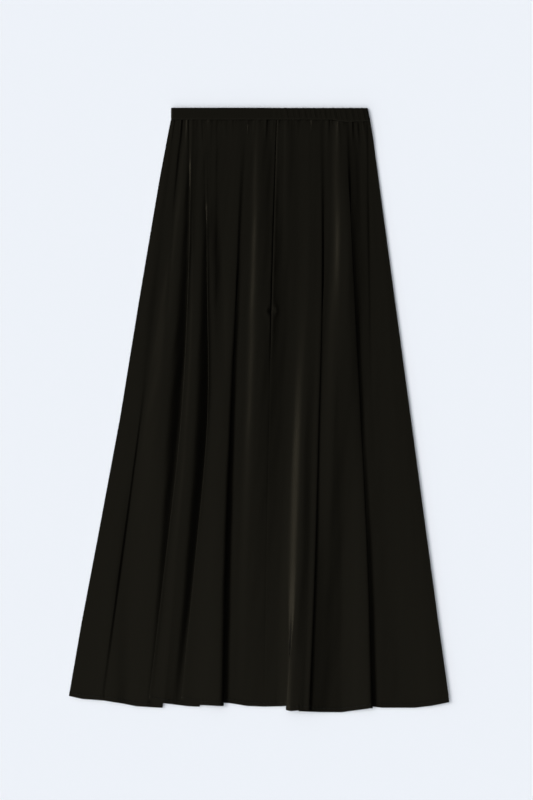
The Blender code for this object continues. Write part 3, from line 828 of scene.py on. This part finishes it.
def bandLoop():        # round the band: place across, height, outward direction, share that is front
    left, right = sideX(0.0)
    turn = (bandCut["wall"] + skirtLay["seamGap"]) / 2.0
    count = round((right - left) / bandCut["column"])
    innerLeft = left + bandCut["wall"] / 2.0 + turn
    innerRight = right - bandCut["wall"] / 2.0 - turn
    step = bandCut["endStep"]
    backCount = count // bandCut["backColumns"]
    loop = [(x, turn, 0.0, 1.0, 1.0) for x in np.linspace(innerLeft, innerRight, count + 1)]
    loop += bandEnd(innerRight, turn, np.arange(90.0 - step, -90.0, -step))
    loop += [(x, -turn, 0.0, -1.0, 0.0) for x in np.linspace(innerRight, innerLeft, backCount + 1)]
    loop += bandEnd(innerLeft, turn, np.arange(270.0 - step, 90.0, -step))
    return loop


def bandGrid():
    left, right = sideX(0.0)
    half = bandCut["wall"] / 2.0
    soft = bandCut["edgeRound"]
    middle = half + (bandCut["wall"] + skirtLay["seamGap"]) / 2.0
    grid = []
    corner = 0.3 * soft
    for x, z, outX, outZ, front in bandLoop():
        wave = crinkle(x) * front
        top = skirtLay["bandTopY"] - bandCut["scallop"] * (0.5 - 0.5 * wave) * front * elasticPull(x)
        bottom = skirtLay["bandSeamY"] + (float(seamY(x)) - skirtLay["bandSeamY"]) * front
        lift = bandCut["crinkleHeight"] * max(wave, bandCut["crinkleLowest"]) + fineCrinkle(x) * front
        section = [(-half, bottom + bandCut["innerRise"]), (-half, top - soft),
                   (-half + corner, top - corner), (-half + soft, top),
                   (half - soft, top), (half - corner, top - corner)]
        for point in bandFace:
            outward = half + point.swell * front * bandCut["swellShare"] + lift * point.crease
            section.append((outward - bandCut["faceInset"], bottom + (top - bottom) * point.up))
        ring = []
        for outward, y in section:
            lean = (right - bandCut["topRight"]) * (y - skirtLay["bandSeamY"])
            lean /= skirtLay["bandTopY"] - skirtLay["bandSeamY"]
            pull = lean * float(smoothStep(left, right, x))
            ring.append((x + outX * outward - pull, y, middle + z + outZ * outward))
        grid.append(ring)
    return np.array(grid)


bandPlaces = bandGrid()
band = newPiece("waistbandCasing", gridMesh("waistbandCasing", bandPlaces, True, True), bandSatin)
pointOutwards(band.data)
band.data.shade_smooth()
print("stage: waistband", len(band.data.polygons))


# the narrow hem's stitches: a Geometry Nodes tree lays them along the stitch line
stitchCut = {
    "pitch": 3.0,
    "length": 2.1,
    "radius": 0.11,
    "fromEdge": 6.2,
    "lift": 0.17,
    "sides": 6,
    "shortest": 0.85,
    "longest": 1.12,
    "seed": 11,
}
stitchInputs = {
    "Pitch": stitchCut["pitch"] * mm,
    "Length": stitchCut["length"] * mm,
    "Radius": stitchCut["radius"] * mm,
}


def stitchTree(name, material):
    tree = bpy.data.node_groups.new(name, "GeometryNodeTree")
    tree.interface.new_socket("Line", in_out="INPUT", socket_type="NodeSocketGeometry")
    for label, value in stitchInputs.items():
        socket = tree.interface.new_socket(label, in_out="INPUT", socket_type="NodeSocketFloat")
        socket.default_value = value
    tree.interface.new_socket("Stitches", in_out="OUTPUT", socket_type="NodeSocketGeometry")
    start = addNode(tree, "NodeGroupInput", (-900, 0))
    end = addNode(tree, "NodeGroupOutput", (900, 0))
    points = addNode(tree, "GeometryNodeCurveToPoints", (-600, 100), mode="LENGTH")
    thread = addNode(tree, "GeometryNodeMeshCylinder", (-600, -200))
    thread.inputs["Vertices"].default_value = stitchCut["sides"]
    rounding = addNode(tree, "GeometryNodeSetShadeSmooth", (-400, -200))
    instances = addNode(tree, "GeometryNodeInstanceOnPoints", (-200, 0))
    wobble = addNode(tree, "FunctionNodeRandomValue", (-600, -450))
    wobble.inputs["Seed"].default_value = stitchCut["seed"]
    wobble.inputs[2].default_value = stitchCut["shortest"]
    wobble.inputs[3].default_value = stitchCut["longest"]
    realize = addNode(tree, "GeometryNodeRealizeInstances", (200, 0))
    dress = addNode(tree, "GeometryNodeSetMaterial", (500, 0))
    dress.inputs["Material"].default_value = material
    link = tree.links.new
    link(start.outputs["Line"], points.inputs["Curve"])
    link(start.outputs["Pitch"], points.inputs["Length"])
    link(start.outputs["Length"], thread.inputs["Depth"])
    link(start.outputs["Radius"], thread.inputs["Radius"])
    link(thread.outputs["Mesh"], rounding.inputs["Geometry"])
    link(points.outputs["Points"], instances.inputs["Points"])
    link(points.outputs["Rotation"], instances.inputs["Rotation"])
    link(rounding.outputs["Geometry"], instances.inputs["Instance"])
    link(wobble.outputs[1], instances.inputs["Scale"])
    link(instances.outputs["Instances"], realize.inputs["Geometry"])
    link(realize.outputs["Geometry"], dress.inputs["Geometry"])
    link(dress.outputs["Geometry"], end.inputs["Stitches"])
    return tree


def layStitches(name, line, tree):        # the line's points are in millimetres
    curve = bpy.data.curves.new(name, "CURVE")
    curve.dimensions = "3D"
    spline = curve.splines.new("POLY")
    spline.points.add(len(line) - 1)
    for point, (x, y, z) in zip(spline.points, line):
        point.co = (x * mm, y * mm, z * mm, 1.0)
    guide = bpy.data.objects.new(name + "Line", curve)
    bpy.context.scene.collection.objects.link(guide)
    modifier = guide.modifiers.new("stitches", "NODES")
    modifier.node_group = tree
    for socket in tree.interface.items_tree:
        if socket.in_out == "INPUT" and socket.name in stitchInputs:
            modifier[socket.identifier] = stitchInputs[socket.name]
    mesh = bpy.data.meshes.new_from_object(guide.evaluated_get(bpy.context.evaluated_depsgraph_get()))
    bpy.data.objects.remove(guide, do_unlink=True)
    mesh.name = name
    piece = bpy.data.objects.new(name, mesh)
    bpy.context.scene.collection.objects.link(piece)
    return piece


def stitchLine(grid):        # the row of the cloth that lies under the hem's stitches, lifted onto its face
    place = skirtLay["drop"] - stitchCut["fromEdge"]
    k = int(np.argmin(np.abs(np.array(rows) - place)))
    line = grid[k].copy()
    ahead = np.gradient(line[:, 0]), np.gradient(line[:, 2])
    size = np.hypot(*ahead)
    line[:, 0] -= ahead[1] / size * stitchCut["lift"]
    line[:, 2] += ahead[0] / size * stitchCut["lift"]
    return line.tolist()


threadTree = stitchTree("hemStitching", sewingThread)
leftStitches = layStitches("hemStitchesLeft", stitchLine(leftGrid), threadTree)
rightStitches = layStitches("hemStitchesRight", stitchLine(rightGrid), threadTree)
print("stage: hem stitches", len(leftStitches.data.polygons), len(rightStitches.data.polygons))


# what each piece is, and what it lies on
for piece, node, slot in (
    (frontLeft, "front_left_panel", "panel_satin"),
    (frontRight, "front_right_panel", "panel_satin"),
    (back, "back_panel", "back_satin"),
    (band, "waistband", "band_satin"),
):
    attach(piece, "root")
    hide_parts(node)
for piece in (leftStitches, rightStitches):
    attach(piece, "root")


# the pale surface, the soft studio light and the camera straight above
studio = {
    "floorSize": 14.0,
    "floorDrop": 0.0003,
    "floorColour": (0.843, 0.859, 0.896, 1.0),
    "floorRoughness": 0.9,
    "floorSpecular": 0.1,
    "worldColour": (0.93, 0.965, 1.0, 1.0),
    "worldAcross": (0.06, 0.36, 0.93, 0.0),
    "worldAlong": (-0.22, 0.0, 1.72, 0.98),
    "keyFrom": (-1.2, 0.3, 1.0),
    "keyStrength": 1.5,
    "keySpread": 30.0,
    "keyColour": (1.0, 0.985, 0.965),
    "pixel": 1.6556 * mm,
    "frameTall": 800,
    "centreX": 12.4 * mm,
    "centreY": 16.6 * mm,
    "lens": 100.0,
    "sensor": 36.0,
    "farthest": 50.0,
}


def makeFloor():
    bpy.ops.mesh.primitive_plane_add(size=studio["floorSize"], location=(0.0, 0.0, -studio["floorDrop"]))
    floor = bpy.context.active_object
    floor.name = "floor"
    material, _, shader = newMaterial("paleSurface")
    shader.inputs["Base Color"].default_value = studio["floorColour"]
    shader.inputs["Roughness"].default_value = studio["floorRoughness"]
    shader.inputs["Specular IOR Level"].default_value = studio["floorSpecular"]
    floor.data.materials.append(material)


def addRange(tree, place, values):        # a soft change from one brightness to another
    node = addNode(tree, "ShaderNodeMapRange", place, interpolation_type="SMOOTHSTEP")
    for label, value in zip(("From Min", "From Max", "To Min", "To Max"), values):
        node.inputs[label].default_value = value
    return node


def makeWorld():        # a room lit from the left and from the hem's side, and dark on the right
    world = bpy.data.worlds.new("studioWhite")
    world.use_nodes = True
    tree = world.node_tree
    background = tree.nodes["Background"]
    background.inputs["Color"].default_value = studio["worldColour"]
    places = addNode(tree, "ShaderNodeTexCoord", (-900, 0))
    split = addNode(tree, "ShaderNodeSeparateXYZ", (-700, 0))
    across = addRange(tree, (-450, 0), studio["worldAcross"])
    lengthways = addRange(tree, (-450, -300), studio["worldAlong"])
    both = addNode(tree, "ShaderNodeMath", (-200, 0), operation="MULTIPLY")
    tree.links.new(places.outputs["Generated"], split.inputs["Vector"])
    tree.links.new(split.outputs["X"], across.inputs["Value"])
    tree.links.new(split.outputs["Y"], lengthways.inputs["Value"])
    tree.links.new(across.outputs["Result"], both.inputs[0])
    tree.links.new(lengthways.outputs["Result"], both.inputs[1])
    tree.links.new(both.outputs["Value"], background.inputs["Strength"])
    bpy.context.scene.world = world


def makeKeyLight():        # one broad, soft light from the upper left, far enough away to be even
    data = bpy.data.lights.new("softKey", "SUN")
    data.energy = studio["keyStrength"]
    data.angle = math.radians(studio["keySpread"])
    data.color = studio["keyColour"]
    light = bpy.data.objects.new("softKey", data)
    light.location = studio["keyFrom"]
    light.rotation_euler = (-Vector(studio["keyFrom"])).to_track_quat("-Z", "Y").to_euler()
    bpy.context.scene.collection.objects.link(light)


def makeCamera():
    data = bpy.data.cameras.new("overhead")
    data.lens = studio["lens"]
    data.sensor_width = studio["sensor"]
    data.clip_end = studio["farthest"]
    camera = bpy.data.objects.new("overhead", data)
    tall = studio["frameTall"] * studio["pixel"]
    camera.location = (studio["centreX"], studio["centreY"], tall * studio["lens"] / studio["sensor"])
    bpy.context.scene.collection.objects.link(camera)
    bpy.context.scene.camera = camera


bpy.context.scene.view_settings.view_transform = "Standard"        # plain colours, as the studio picture has
makeFloor()
makeWorld()
makeKeyLight()
makeCamera()
print("stage: studio ready")
